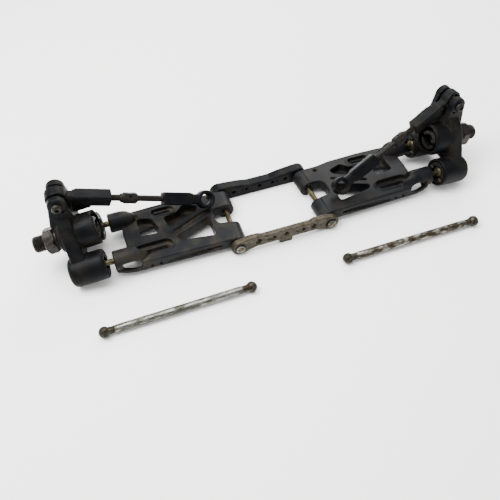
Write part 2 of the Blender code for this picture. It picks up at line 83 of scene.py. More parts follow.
X, Y, Z = Vector((1, 0, 0)), Vector((0, 1, 0)), Vector((0, 0, 1))
ORIGIN = Vector((0, 0, 0))
STANDING = frame_of(ORIGIN, X, Z, Vector((0, -1, 0)))
ACROSS = frame_of(ORIGIN, Y, Z, X)
QUARTER_Y = Matrix.Rotation(math.pi / 2, 4, "Y")
QUARTER_Z = Matrix.Rotation(math.pi / 2, 4, "Z")


def step(distance):
    """A step along x."""
    return Matrix.Translation((distance, 0, 0))


def frame_along(start, direction, roll=0.0):
    """x along a direction, y level, then rolled about x."""
    x_axis = Vector(direction).normalized()
    y_axis = Z.cross(x_axis).normalized()
    level = frame_of(Vector(start), x_axis, y_axis, x_axis.cross(y_axis))
    return level @ Matrix.Rotation(roll, 4, "X")


def hub_frame():
    s_axis = axis("right_axle_spin")
    t_axis = axis("right_hub_tilt")
    return frame_of(pivot("right_hub_tilt"), s_axis, t_axis, s_axis.cross(t_axis))


HUB = hub_frame()
AXLE_W = (pivot("right_axle_spin") - pivot("right_hub_tilt")).length
CLEVIS = HUB.inverted() @ pivot("right_link_swing")
BALL_Z = pivot("right_hub_tilt").z
PIN_Z = pivot("right_arm_swing").z
PIN_AXIS = axis("right_arm_swing")
BALL_HALF = 18.3


def pin_point(y):
    """The right hinge pin's centre at a depth y."""
    start = pivot("right_arm_swing")
    return start + PIN_AXIS * ((y - start.y) / PIN_AXIS.y)


def pin_direction():
    """Along the right hinge pin, away from the near holder."""
    return PIN_AXIS * math.copysign(1, PIN_AXIS.y)


def ball_point(side):
    return HUB @ Vector((0, side * BALL_HALF, 0))


def along_s(t, w):
    """A frame whose x lies along the hub's s axis."""
    return HUB @ Matrix.Translation((0, t, w))


def along_t(s, w, t=0.0):
    """A frame whose x lies along the hub's ball line and y along w."""
    return HUB @ frame_of(Vector((s, t, w)), Y, Z, X)


# ---------------------------------------------------------------- mesh building

def skinned(bm, rings, followers, segments):
    """Join each ring of points to the one that follows it. A ring of one point is a tip."""
    for one, two in zip(rings, followers):
        for i in range(segments):
            j = (i + 1) % segments
            corners = [one[i % len(one)], two[i % len(two)], two[j % len(two)], one[j % len(one)]]
            bm.faces.new(list(dict.fromkeys(corners)))
    bmesh.ops.recalc_face_normals(bm, faces=bm.faces)
    return bm


def turned(profile, segments=40, ring=False):
    """Spin (along, radius) points about x. A ring profile closes on itself."""
    bm = bmesh.new()
    rings = []
    for along, radius in profile:
        if radius < 1e-6:
            rings.append([bm.verts.new((along, 0, 0))])
            continue
        turns = [2 * math.pi * (i + 0.5) / segments for i in range(segments)]
        points = [(along, radius * math.cos(a), radius * math.sin(a)) for a in turns]
        rings.append([bm.verts.new(point) for point in points])
    return skinned(bm, rings, rings[1:] + rings[:1] if ring else rings[1:], segments)


def threaded(start, end, radius, pitch, depth, segments=28, steps=6):
    """A rod along x with a screw thread in its surface, chamfered at both ends."""
    bm = bmesh.new()
    count = round((end - start) / pitch * steps)
    rings = [[bm.verts.new((start, 0, 0))]]
    for i in range(count + 1):
        along = start + (end - start) * i / count
        chamfer = max(0.0, 1 - min(along - start, end - along) / (0.7 * pitch))
        ring = []
        for k in range(segments):
            turn = 2 * math.pi * k / segments
            phase = (along / pitch - k / segments) % 1
            valley = 1 - min(1.0, 1.15 * abs(2 * phase - 1))
            reach = radius - depth * max(valley, chamfer)
            ring.append(bm.verts.new((along, reach * math.cos(turn), reach * math.sin(turn))))
        rings.append(ring)
    rings.append([bm.verts.new((end, 0, 0))])
    return skinned(bm, rings, rings[1:], segments)


def prism(outline, low, high, bevel=0.0):
    """Extrude an (x, y) outline from z = low to z = high, with its rims rounded by bevel."""
    bm = bmesh.new()
    base = bm.faces.new([bm.verts.new((x, y, low)) for x, y in outline])
    raised = bmesh.ops.extrude_face_region(bm, geom=[base])["geom"]
    lifted = [v for v in raised if isinstance(v, bmesh.types.BMVert)]
    bmesh.ops.translate(bm, verts=lifted, vec=(0, 0, high - low))
    bmesh.ops.recalc_face_normals(bm, faces=bm.faces)
    if bevel:
        rims = [e for e in bm.edges if abs(e.verts[0].co.z - e.verts[1].co.z) < 1e-4]
        bmesh.ops.bevel(bm, geom=rims, offset=bevel, segments=3, affect="EDGES", profile=0.5,
                        clamp_overlap=True)
    return bm


def arc(centre, radius, start, end, steps):
    """Points along a circle from start to end, in degrees."""
    angles = [math.radians(start + (end - start) * i / steps) for i in range(steps + 1)]
    return [(centre[0] + radius * math.cos(a), centre[1] + radius * math.sin(a)) for a in angles]


def circle(centre, radius, steps=24):
    return arc(centre, radius, 0, 360 - 360 / steps, steps - 1)


def slot(centre, half_length, radius, steps=8):
    """A round-ended slot along x."""
    x, y = centre
    right = arc((x + half_length, y), radius, -90, 90, steps)
    left = arc((x - half_length, y), radius, 90, 270, steps)
    return right + left


def rounded(outline, reach, steps=4):
    """The outline with each corner turned into a short curve that starts reach before it."""
    made = []
    count = len(outline)
    for i in range(count):
        before, corner, after = (Vector(outline[(i + k) % count]) for k in (-1, 0, 1))
        back, on = before - corner, after - corner
        cut_in = min(reach, 0.45 * back.length, 0.45 * on.length)
        one = corner + back.normalized() * cut_in
        two = corner + on.normalized() * cut_in
        for k in range(steps + 1):
            share = k / steps
            made.append(tuple(one.lerp(corner, share).lerp(corner.lerp(two, share), share)))
    return made


def barrel(low, high, radius, edge, steps=5):
    """The profile of a cylinder with rounded rims."""
    start = [(low + edge - edge * math.cos(a), radius - edge + edge * math.sin(a))
             for a in (math.pi / 2 * i / steps for i in range(steps + 1))]
    end = [(high - edge + edge * math.sin(a), radius - edge + edge * math.cos(a))
           for a in (math.pi / 2 * i / steps for i in range(steps + 1))]
    return [(low, 0)] + start + end + [(high, 0)]


def ball_profile(radius, steps, first=-90, last=90):
    angles = [math.radians(first + (last - first) * i / steps) for i in range(steps + 1)]
    return [(radius * math.sin(a), max(radius * math.cos(a), 0.0)) for a in angles]


def put(name, bm, at=None):
    """Make an object from a millimetre bmesh, placed by a millimetre frame."""
    if at is not None:
        bm.transform(at)
        if at.determinant() < 0:
            bmesh.ops.reverse_faces(bm, faces=bm.faces)
    bm.transform(Matrix.Scale(MM, 4))
    mesh = bpy.data.meshes.new(name)
    bm.to_mesh(mesh)
    bm.free()
    obj = bpy.data.objects.new(name, mesh)
    bpy.context.scene.collection.objects.link(obj)
    return obj


def apply_modifiers(obj):
    graph = bpy.context.evaluated_depsgraph_get()
    made = bpy.data.meshes.new_from_object(obj.evaluated_get(graph))
    obj.modifiers.clear()
    old = obj.data
    obj.data = made
    bpy.data.meshes.remove(old)
    return obj


def merge(obj, tool, operation):
    """Boolean with another object, which is used up."""
    modifier = obj.modifiers.new("shape", "BOOLEAN")
    modifier.solver = "MANIFOLD"
    modifier.operation = operation
    modifier.object = tool
    apply_modifiers(obj)
    bpy.data.objects.remove(tool, do_unlink=True)
    return obj


def combine(obj, bm, operation, at=None):
    return merge(obj, put("tool", bm, at), operation)


def add(obj, bm, at=None):
    return combine(obj, bm, "UNION", at)


def cut(obj, bm, at=None):
    return combine(obj, bm, "DIFFERENCE", at)


def moulded(obj, voxel=0.4, rounds=3, keep=0.3):
    """Give a built-up shape one skin with softened edges, as a moulding has."""
    skin = obj.modifiers.new("skin", "REMESH")
    skin.mode = "VOXEL"
    skin.voxel_size = voxel * MM
    soft = obj.modifiers.new("soft", "SMOOTH")
    soft.factor = 0.5
    soft.iterations = rounds
    thin = obj.modifiers.new("thin", "DECIMATE")
    thin.ratio = keep
    return apply_modifiers(obj)


def roughen(obj, amount, size):
    """Push the surface in and out a little, as knocks and corrosion do."""
    for vertex in obj.data.vertices:
        shift = noise.fractal(vertex.co / (size * MM), 0.7, 2.0, 3)
        vertex.co += vertex.normal * (shift * amount * MM)
        vertex.co.z = max(vertex.co.z, 0.0)
    return obj


def shade(obj, degrees=35):
    obj.data.shade_smooth()
    obj.data.set_sharp_from_angle(angle=math.radians(degrees))
    return obj


def mirrored(obj, name):
    """The left-hand twin of a right-hand piece."""
    mesh = obj.data.copy()
    mesh.transform(Matrix.Scale(-1, 4, (1, 0, 0)))
    mesh.flip_normals()
    twin = bpy.data.objects.new(name, mesh)
    bpy.context.scene.collection.objects.link(twin)
    return twin


def plate_xz(outline, y_low, y_high, bevel=0.0):
    """A plate drawn in (x, z), thick along y."""
    return prism(outline, -y_high, -y_low, bevel), STANDING


def plate_sw(outline, t_low, t_high, bevel=0.0):
    """A plate drawn in the hub's (s, w), thick along t."""
    return prism(outline, -t_high, -t_low, bevel), HUB @ STANDING


def plate_tw(outline, s_low, s_high, bevel=0.0):
    """A plate drawn in the hub's (t, w), thick along s."""
    return prism(outline, s_low, s_high, bevel), HUB @ ACROSS


# ---------------------------------------------------------------- materials

def shade_of(colour, share):
    return tuple(channel * share for channel in colour)


class Paint:
    """Builds one node material."""

    def __init__(self, name):
        self.material = bpy.data.materials.new(name)
        self.material.use_nodes = True
        self.tree = self.material.node_tree
        self.shader = self.tree.nodes["Principled BSDF"]
        self.place = self.make("ShaderNodeTexCoord").outputs["Object"]

    def make(self, kind, **settings):
        made = self.tree.nodes.new(kind)
        for key, value in settings.items():
            setattr(made, key, value)
        return made

    def feed(self, value, socket):
        if isinstance(value, bpy.types.NodeSocket):
            self.tree.links.new(value, socket)
        elif isinstance(value, tuple) and len(value) == 3:
            socket.default_value = (*value, 1.0)
        else:
            socket.default_value = value

    def noise(self, size, detail=4.0, roughness=0.55, stretch=None):
        """Noise with features about size millimetres across."""
        place = self.place
        if stretch is not None:
            mapping = self.make("ShaderNodeMapping")
            self.feed(place, mapping.inputs["Vector"])
            mapping.inputs["Scale"].default_value = stretch
            place = mapping.outputs["Vector"]
        made = self.make("ShaderNodeTexNoise")
        self.feed(place, made.inputs["Vector"])
        made.inputs["Scale"].default_value = 1 / (size * MM)
        made.inputs["Detail"].default_value = detail
        made.inputs["Roughness"].default_value = roughness
        return made.outputs["Fac"]

    def ramp(self, value, low, high, first=0.0, last=1.0):
        """Map value from low..high to first..last, smoothly."""
        made = self.make("ShaderNodeMapRange", interpolation_type="SMOOTHSTEP")
        self.feed(value, made.inputs["Value"])
        bounds = {"From Min": low, "From Max": high, "To Min": first, "To Max": last}
        for name, number in bounds.items():
            made.inputs[name].default_value = number
        return made.outputs["Result"]

    def sum(self, one, two, operation="ADD"):
        made = self.make("ShaderNodeMath", operation=operation)
        made.use_clamp = True
        self.feed(one, made.inputs[0])
        self.feed(two, made.inputs[1])
        return made.outputs[0]

    def blend(self, share, one, two):
        made = self.make("ShaderNodeMix", data_type="RGBA")
        self.feed(share, made.inputs["Factor"])
        self.feed(one, made.inputs[6])
        self.feed(two, made.inputs[7])
        return made.outputs[2]

    def crevice(self, reach):
        """0 in the open and 1 deep in a corner or a hole of the same piece."""
        made = self.make("ShaderNodeAmbientOcclusion", samples=8, only_local=True)
        made.inputs["Distance"].default_value = reach * MM
        return self.ramp(made.outputs["AO"], 1.0, 0.35)

    def edge(self):
        """1 along convex edges."""
        made = self.make("ShaderNodeNewGeometry")
        return self.ramp(made.outputs["Pointiness"], 0.52, 0.6)

    def bump(self, height, strength, distance=0.1):
        made = self.make("ShaderNodeBump")
        made.inputs["Strength"].default_value = strength
        made.inputs["Distance"].default_value = distance * MM
        self.feed(height, made.inputs["Height"])
        self.feed(made.outputs["Normal"], self.shader.inputs["Normal"])

    def finish(self, colour, roughness, metallic=0.0):
        self.feed(colour, self.shader.inputs["Base Color"])
        self.feed(roughness, self.shader.inputs["Roughness"])
        self.feed(metallic, self.shader.inputs["Metallic"])
        return self.material


def nylon(name, dustiness, depth, shine):
    """Black glass-filled nylon, greyed by handling, with khaki dust in its corners."""
    paint = Paint(name)
    clouds = paint.noise(9.0, 5.0)
    grain = paint.noise(0.5, 3.0)
    body = paint.blend(paint.ramp(clouds, 0.3, 0.7), shade_of((0.006, 0.0072, 0.0095), depth),
                       shade_of((0.011, 0.0125, 0.0155), depth))
    fibre = shade_of((0.022, 0.023, 0.026), depth)
    body = paint.blend(paint.ramp(grain, 0.35, 0.75, 0.0, 0.3), body, fibre)
    rub = paint.sum(paint.edge(), paint.ramp(paint.noise(2.5, 4.0), 0.35, 0.7), "MULTIPLY")
    body = paint.blend(paint.sum(rub, 0.6, "MULTIPLY"), body, shade_of((0.05, 0.051, 0.052), depth))
    patches = paint.ramp(paint.noise(4.0, 6.0, 0.65), 0.30, 0.62)
    corner = paint.sum(paint.crevice(5.0), patches, "MULTIPLY")
    film = paint.ramp(paint.noise(14.0, 4.0), 0.42, 0.75, 0.0, 0.35)
    dust = paint.sum(paint.sum(corner, film), dustiness, "MULTIPLY")
    colour = paint.blend(dust, body, (0.052, 0.043, 0.026))
    rough = paint.ramp(clouds, 0.3, 0.7, 0.36, 0.48)
    rough = paint.sum(rough, paint.sum(dust, 0.35, "MULTIPLY"))
    paint.bump(paint.sum(grain, paint.sum(dust, 0.4, "MULTIPLY")), 0.35, 0.08)
    paint.shader.inputs["Specular IOR Level"].default_value = shine
    return paint.finish(colour, rough)


def metal(name, clean, stained, stain_low, stain_high, roughness, stain_size=3.0,
          rust=(0.04, 0.024, 0.012), rust_share=0.3, metallic=0.9, stretch=None, pitted=False):
    """Steel or aluminium with stains, corrosion in its corners and fine scratches."""
    paint = Paint(name)
    blotch = paint.ramp(paint.noise(stain_size, 6.0, 0.65, stretch), stain_low, stain_high)
    scratch = paint.noise(1.2, 3.0, 0.6, (1.0, 0.12, 1.0))
    colour = paint.blend(blotch, clean, stained)
    if pitted:
        pits = paint.ramp(paint.noise(1.3, 6.0, 0.75), 0.54, 0.66, 0.0, 0.7)
        colour = paint.blend(pits, colour, shade_of(stained, 0.3))
    colour = paint.blend(paint.ramp(scratch, 0.55, 0.75, 0.0, 0.3), colour, shade_of(clean, 1.35))
    decay = paint.sum(paint.crevice(2.5), paint.ramp(paint.noise(1.4, 5.0), 0.35, 0.65), "MULTIPLY")
    speckle = paint.ramp(paint.noise(0.9, 5.0, 0.7), 0.62, 0.74)
    decay = paint.sum(paint.sum(decay, speckle), rust_share, "MULTIPLY")
    colour = paint.blend(decay, colour, rust)
    rough = paint.ramp(blotch, 0.0, 1.0, roughness, roughness + 0.22)
    rough = paint.sum(rough, paint.sum(decay, 0.4, "MULTIPLY"))
    shine = paint.ramp(decay, 0.0, 0.8, metallic, 0.25)
    paint.bump(paint.noise(0.6, 4.0), 0.25, 0.06)
    return paint.finish(colour, rough, shine)


def make_materials():
    return {
        "deep nylon": nylon("clean_black_nylon", 0.35, 0.22, 0.05),
        "nylon": nylon("dusty_black_nylon", 0.4, 0.36, 0.075),
        "dusty nylon": nylon("very_dusty_black_nylon", 0.75, 0.36, 0.08),
        "zinc": metal("dulled_zinc_steel", (0.085, 0.069, 0.037), (0.022, 0.017, 0.0095),
                      0.38, 0.6, 0.34),
        "brown": metal("stained_end_steel", (0.036, 0.034, 0.026), (0.016, 0.012, 0.0065),
                       0.38, 0.6, 0.36),
        "bright": metal("bright_worn_steel", (0.19, 0.19, 0.175), (0.045, 0.043, 0.033),
                        0.36, 0.58, 0.26, stretch=(0.3, 1.0, 1.0), pitted=True),
        "blotched": metal("blotched_steel", (0.21, 0.20, 0.18), (0.028, 0.022, 0.0125),
                          0.40, 0.53, 0.30, 3.6, stretch=(0.45, 1.0, 1.0), pitted=True),
        # On the cup rings this dark finish is partly painted shade: it stands in for the shadow inside the
        # pillow ball cups.
        "dark": metal("darkened_steel", (0.016, 0.0155, 0.015), (0.011, 0.009, 0.007),
                      0.35, 0.65, 0.42),
        "rusty": metal("rusted_thread_steel", (0.011, 0.011, 0.0105), (0.014, 0.0095, 0.0055),
                       0.45, 0.65, 0.45, 1.8, rust=(0.030, 0.017, 0.008), rust_share=0.8),
        "screw": metal("grey_screw_steel", (0.026, 0.025, 0.022), (0.014, 0.012, 0.0095),
                       0.4, 0.65, 0.5),
        "hex": metal("browned_hex_alloy", (0.018, 0.0158, 0.0138), (0.0105, 0.0088, 0.0075),
                     0.4, 0.65, 0.4),
        "alloy": metal("worn_bronze_alloy", (0.040, 0.032, 0.021), (0.021, 0.0165, 0.010),
                       0.4, 0.66, 0.45, 2.4, rust=(0.014, 0.010, 0.006), rust_share=0.6,
                       metallic=0.75),
    }


def dress(obj, material):
    obj.data.materials.clear()
    obj.data.materials.append(material)
    return obj


# ---------------------------------------------------------------- lower arms

ARM_LOW = 4.2
ARM_TOP = 13.6
INNER_BOSS_R = 6.5
OUTER_BOSS_R = 7.2
BORE_R = 2.3
INNER_BOSSES = ((2.7, 20.5), (37.2, 53.3))  # from and to, in depth
OUTER_BOSSES = ((-1, 126.6), (1, 122.2))  # near or far ball, and how far out the boss reaches
DROOP_XY = (44.5, 48.6)
LOOP_TURN = math.radians(40.0)
THROUGH = (0, 20)  # heights of a cut right through an arm
ABOVE = 30


def outer_boss(y, x_high):
    """The boss that holds a pillow ball's stud, tapering into the arm."""
    profile = [(102.0, 0), (102.0, 2.6), (108.0, 6.2), (111.0, 7.0), (113.5, OUTER_BOSS_R)]
    outer_rim = barrel(x_high - 3.0, x_high, OUTER_BOSS_R, 1.0)[7:]
    return turned(profile + outer_rim), Matrix.Translation((0, y, BALL_Z))


def lower_arm():
    outline = [
        (37.0, 2.7), (112.0, 4.6), (113.5, 20.5), (114.4, 21.5), (114.4, 40.5), (112.5, 42.0),
        (112.5, 55.2), (84.0, 56.0), (60.0, 55.4), (47.0, 53.3), (34.0, 53.3), (35.0, 37.2),
        (44.0, 36.2), (46.0, 33.5), (46.0, 24.5), (44.0, 21.5), (36.0, 20.5),
    ]
    obj = put("right_arm_moulding", prism(rounded(outline, 1.6), ARM_LOW, ARM_TOP, 0.9))
    for low, high in INNER_BOSSES:
        length = (pin_point(high) - pin_point(low)).length
        boss = turned(barrel(0, length, INNER_BOSS_R, 0.8))
        add(obj, boss, frame_along(pin_point(low), pin_direction()))
    for side, x_end in OUTER_BOSSES:
        add(obj, *outer_boss(ball_point(side).y, x_end))
    windows = (
        [(102.6, 28.8), (102.0, 46.8), (91.6, 43.2), (88.0, 31.5), (89.6, 27.9)],
        [(78.6, 19.6), (76.4, 15.6), (50.0, 11.4), (50.0, 30.8)],
        [(55.0, 44.6), (57.0, 39.6), (80.6, 29.6), (82.6, 41.5), (71.5, 43.2), (66.0, 48.6)],
    )
    for window in windows:
        cut(obj, prism(rounded(window, 2.2), *THROUGH))
    ledge = [(104.0, 38.2), (104.0, 48.0), (88.0, 44.0), (89.6, 40.6)]
    add(obj, prism(ledge, ARM_LOW, 7.6))
    window_floor = [(54.0, 44.0), (58.0, 39.0), (81.0, 29.0), (83.0, 42.0), (66.0, 49.0)]
    add(obj, prism(window_floor, ARM_LOW, 6.6))
    groove = Matrix.Translation((65.5, 30.6, 0)) @ Matrix.Rotation(math.radians(-22.5), 4, "Z")
    cut(obj, prism(slot((0, 0), 13.0, 1.3), ARM_TOP - 2.4, ABOVE), groove)
    add(obj, prism(slot((96.0, 15.2), 9.4, 6.0), ARM_LOW, ARM_TOP + 0.7, 0.5))
    cut(obj, prism(slot((96.0, 15.2), 8.8, 2.0), *THROUGH))
    cut(obj, prism(slot((96.0, 15.4), 9.2, 4.7), ARM_TOP - 3.4, ABOVE))
    add(obj, prism(slot((81.6, 48.0), 5.8, 4.6), ARM_LOW, ARM_TOP + 0.6, 0.4))
    cut(obj, prism(slot((81.6, 48.0), 5.4, 1.6), *THROUGH))
    cut(obj, prism(slot((81.6, 48.0), 5.6, 3.0), ARM_TOP - 2.6, ABOVE))
    side_recess = [(47.0, 8.2), (74.0, 5.8), (90.0, 5.8), (90.0, 8.0), (78.0, 10.8), (50.0, 10.0)]
    cut(obj, *plate_xz(rounded(side_recess, 0.8), -5, 5.0))
    for x in (94.6, 101.0):
        cut(obj, *plate_xz(circle((x, 7.2), 1.15), -5, 12))
    slope = Matrix.Translation((0, ball_point(-1).y, BALL_Z)) @ Matrix.Rotation(LOOP_TURN, 4, "X")
    loop = [(107.6, -9.0), (107.6, -6.0), (111.0, -4.2), (121.6, -4.2), (121.6, -9.0)]
    cut(obj, prism(rounded(loop, 1.2), -ABOVE, ABOVE), slope)
    strap = [(104.0, 4.4), (113.0, 4.5), (120.0, 6.0), (126.2, 8.6), (126.2, 15.0), (122.0, 15.0),
             (120.6, 9.4), (113.0, 6.9), (107.4, 7.4), (107.4, 18.0), (104.0, 18.0)]
    add(obj, prism(rounded(strap, 1.0), ARM_LOW, 7.6, 0.6))
    start = pin_point(-6)
    length = (pin_point(60) - start).length
    bore = turned([(0, 0), (0, BORE_R), (length, BORE_R), (length, 0)], 24)
    cut(obj, bore, frame_along(start, pin_direction()))
    for side, x_end in OUTER_BOSSES:
        stud_hole = [(100, 0), (100, 2.5), (x_end - 1.6, 2.5), (x_end - 1.0, 3.6), (x_end + 5, 3.6),
                     (x_end + 5, 0)]
        cut(obj, turned(stud_hole, 24), Matrix.Translation((0, ball_point(side).y, BALL_Z)))
    cut(obj, prism(circle(DROOP_XY, 1.8), *THROUGH))
    return shade(moulded(obj))


# ---------------------------------------------------------------- hub carriers

CUP_R = 10.9
EAR_R = 6.4
EAR_T = 5.0
EYE_GAP = 11.4
BEARING_R = 8.0
BEARING_WIDTH = 5.0
AXLE_R = 4.0
PILLOW_BALL_R = 6.4
STUD_R = 2.2


def hub_carrier():
    s, t, w = CLEVIS
    tube = [(-9.8, 0), (-9.8, 11.2), (-9.2, 12.2), (-8.4, 12.4), (3.0, 12.4), (4.0, 12.1), (4.5, 11.3),
            (16.6, 11.3), (17.6, 10.9), (18.0, 10.0), (18.0, 0)]
    obj = put("right_hub_moulding", turned(tube), along_s(0, AXLE_W))
    cup = [(-6.9, 0), (-6.9, 9.8), (-6.4, 10.6), (-5.4, CUP_R), (15.6, CUP_R), (17.2, 10.5), (18.4, 9.4),
           (19.0, 7.6), (19.0, 0)]
    for side in (-1, 1):
        add(obj, turned(cup), along_s(side * BALL_HALF, 0))
    web = [(-25.0, 2.0), (-14.0, 21.0), (-8.0, 31.0), (1.2, 38.0), (20.8, 38.0),
           (20.8, 20.0), (25.0, 2.0), (18.0, -6.0), (7.0, 4.0), (-7.0, 4.0), (-18.0, -6.0)]
    add(obj, *plate_tw(rounded(web, 3.0), 4.4, 15.0, 1.2))
    gap = EYE_GAP / 2
    cheek = [(0.6, 24.0), (17.6, 24.0), (20.4, 31.0), (15.0, 47.6), (13.0, 49.4), (4.6, 49.4),
             (2.4, 46.4), (1.8, 30.0)]
    for low in (t - gap - EAR_T, t + gap):
        add(obj, *plate_sw(rounded(cheek, 1.5), low, low + EAR_T, 0.8))
        ear = turned(barrel(low - 0.4, low + EAR_T + 0.4, EAR_R, 1.1))
        add(obj, ear, along_t(s, w))
    floor = [(1.5, 24.0), (17.0, 24.0), (16.2, 37.8), (12.0, 38.4), (4.0, 37.6), (2.2, 36.4)]
    add(obj, *plate_sw(floor, t - gap - 1, t + gap + 1))
    gusset = [(-9.0, 27.0), (3.0, 27.0), (3.0, 36.0), (-2.0, 33.6)]
    add(obj, *plate_sw(gusset, t + 1.0, t + gap + EAR_T, 0.6))
    mouth = [(-20.0, 60.0), (-20.0, 34.4), (0.0, 36.6), (3.0, 38.8), (25.0, 38.8), (25.0, 60.0)]
    cut(obj, *plate_sw(mouth, t - gap, t + gap))
    cut(obj, turned([(-12, 0), (-12, 10.6), (-9, 9.8), (3.0, 9.8), (3.0, 0)]), along_s(0, AXLE_W))
    seat = BEARING_R + GAP
    cut(obj, turned([(2, 0), (2, seat), (20, seat), (20, 0)]), along_s(0, AXLE_W))
    for turn, reach, deep in ((70, 7.5, 2.2), (250, 8.5, 2.6)):
        notch = turned(barrel(6, 16, reach, 0.4, 2), 28)
        stand = Matrix.Rotation(math.radians(turn), 4, "X") @ step(deep - reach - 9.8)
        cut(obj, notch, along_s(0, AXLE_W) @ stand @ QUARTER_Z)
    for side in (-1, 1):
        cavity = [(-9, 0), (-9, 9.6), (-6.6, 9.2), (-6.0, 8.4), (9.0, 8.4), (9.0, 0)]
        cut(obj, turned(cavity, 32), along_s(side * BALL_HALF, 0))
    cut(obj, turned([(0, 0), (0, 1.9), (40, 1.9), (40, 0)], 20), along_t(s, w, -10))
    cut(obj, turned([(0, 0), (0, 1.1), (12, 1.1), (12, 0)], 16), along_t(s - 2.3, w - 5.3, -6))
    return shade(moulded(obj))


def ball_cap(name, side):
    """A threaded cap that holds a pillow ball in its cup, with four spanner notches."""
    profile = [(-6.9, 5.8), (-6.9, 7.4), (-6.5, 8.1), (-1.0, 8.1), (-1.0, 6.8), (-4.6, 6.8), (-5.6, 5.2),
               (-6.5, 5.2)]
    obj = put(name, turned(profile, 40, ring=True), along_s(side * BALL_HALF, 0))
    for turn in (20, 110, 200, 290):
        notch = turned([(5.0, 0), (5.0, 1.2), (9.0, 1.2), (9.0, 0)], 12)
        place = Matrix.Rotation(math.radians(turn), 4, "X") @ step(-7.0)
        cut(obj, notch, along_s(side * BALL_HALF, 0) @ place @ QUARTER_Z)
    return shade(obj)


def bearing(name, start):
    """A shielded ball bearing: two races with a sunk shield between them."""
    end = start + BEARING_WIDTH
    outer, inner = BEARING_R, AXLE_R + GAP
    profile = [(start, inner), (start, 5.3), (start + 0.5, 5.4), (start + 0.5, 6.9), (start, 7.0),
               (start, outer - 0.3), (start + 0.3, outer), (end - 0.3, outer), (end, outer - 0.3), (end, 7.0),
               (end - 0.5, 6.9), (end - 0.5, 5.4), (end, 5.3), (end, inner)]
    return shade(put(name, turned(profile, 40, ring=True), along_s(0, AXLE_W)), 25)


def clevis_screw():
    s, t, w = CLEVIS
    head = t - EYE_GAP / 2 - EAR_T - 0.7
    tail = t + EYE_GAP / 2 + EAR_T + 1.4
    profile = [(head - 2.7, 0), (head - 2.7, 2.5), (head - 2.3, 3.1), (head - 1.3, 3.55), (head, 3.6),
               (head, 1.5), (tail - 5.0, 1.5), (tail - 5.0, 0)]
    obj = put("right_clevis_bolt", turned(profile, 36), along_t(s, w))
    add(obj, threaded(tail - 6.0, tail, 1.6, 0.6, 0.25, 20, 5), along_t(s, w))
    socket = [(head - 3.5, 0), (head - 3.5, 1.75), (head - 1.0, 1.6), (head - 0.8, 0)]
    return shade(cut(obj, turned(socket, 6), along_t(s, w)))


def link_ball():
    """The bored ball that the clevis screw holds inside the link's outer eye."""
    radius = 4.6
    half = EYE_GAP / 2 - 0.4
    face = 2.7
    edge = math.degrees(math.asin(math.sqrt(radius ** 2 - face ** 2) / radius))
    core = ball_profile(radius, 12, -edge, edge)
    profile = [(-half, 1.8), (-half, face - 0.3), (0.3 - half, face)] + core
    profile += [(half - 0.3, face), (half, face - 0.3), (half, 1.8)]
    at = along_t(CLEVIS.x, CLEVIS.z, CLEVIS.y)
    return shade(put("right_bored_ball", turned(profile, 32, ring=True), at))


def pillow_ball(name, side):
    """A ball on a threaded stud that screws into the arm's outer boss."""
    profile = [(-13.0, 0), (-13.0, STUD_R), (-9.0, STUD_R), (-8.0, 1.95), (-6.3, 1.95)]
    profile += ball_profile(PILLOW_BALL_R, 12, -72)
    at = Matrix.Translation(ball_point(side))
    obj = put(name, turned(profile, 32), at)
    add(obj, threaded(-29.0, -12.0, STUD_R, 0.8, 0.3, 24, 5), at)
    return shade(obj)


# ---------------------------------------------------------------- axles

HEX_CORNER = 8.5 / math.cos(math.pi / 6)
HEX_IN = 18.8
HEX_OUT = 28.0
NOSE_OUT = 36.6
DRIVE_PIN_S = 22.0
GRUB_S = 24.8
SLIT_HALF = 1.6
GROOVE_HALF = 6.4


def drive_axle():
    """The axle with its drive cup, slotted for the drive shaft's cross pin."""
    profile = [(-9.0, 0), (-9.0, 6.9), (-8.4, 7.6), (0.8, 7.6), (1.8, 7.0), (3.1, 5.6), (3.1, AXLE_R),
               (HEX_OUT - 2.4, AXLE_R), (HEX_OUT - 2.0, 3.6), (HEX_OUT - 2.0, 0)]
    obj = put("right_cup_axle", turned(profile, 40), along_s(0, AXLE_W))
    bore = [(-10, 0), (-10, 5.6), (-8.6, 4.7), (-2.4, 4.7), (-1.0, 3.0), (-1.0, 0)]
    cut(obj, turned(bore, 32), along_s(0, AXLE_W))
    slit = [(-10.0, AXLE_W - SLIT_HALF), (-3.2, AXLE_W - SLIT_HALF), (-2.0, AXLE_W),
            (-3.2, AXLE_W + SLIT_HALF), (-10.0, AXLE_W + SLIT_HALF)]
    cut(obj, *plate_sw(slit, -10, 10))
    pin_hole = turned([(-12, 0), (-12, 1.5), (12, 1.5), (12, 0)], 16)
    return shade(cut(obj, pin_hole, along_s(0, AXLE_W) @ step(DRIVE_PIN_S) @ QUARTER_Y))


def drive_pin():
    pin = turned(barrel(-6.0, 6.0, 1.2, 0.4, 3), 20)
    return shade(put("right_hex_cross_pin", pin, along_s(0, AXLE_W) @ step(DRIVE_PIN_S) @ QUARTER_Y))


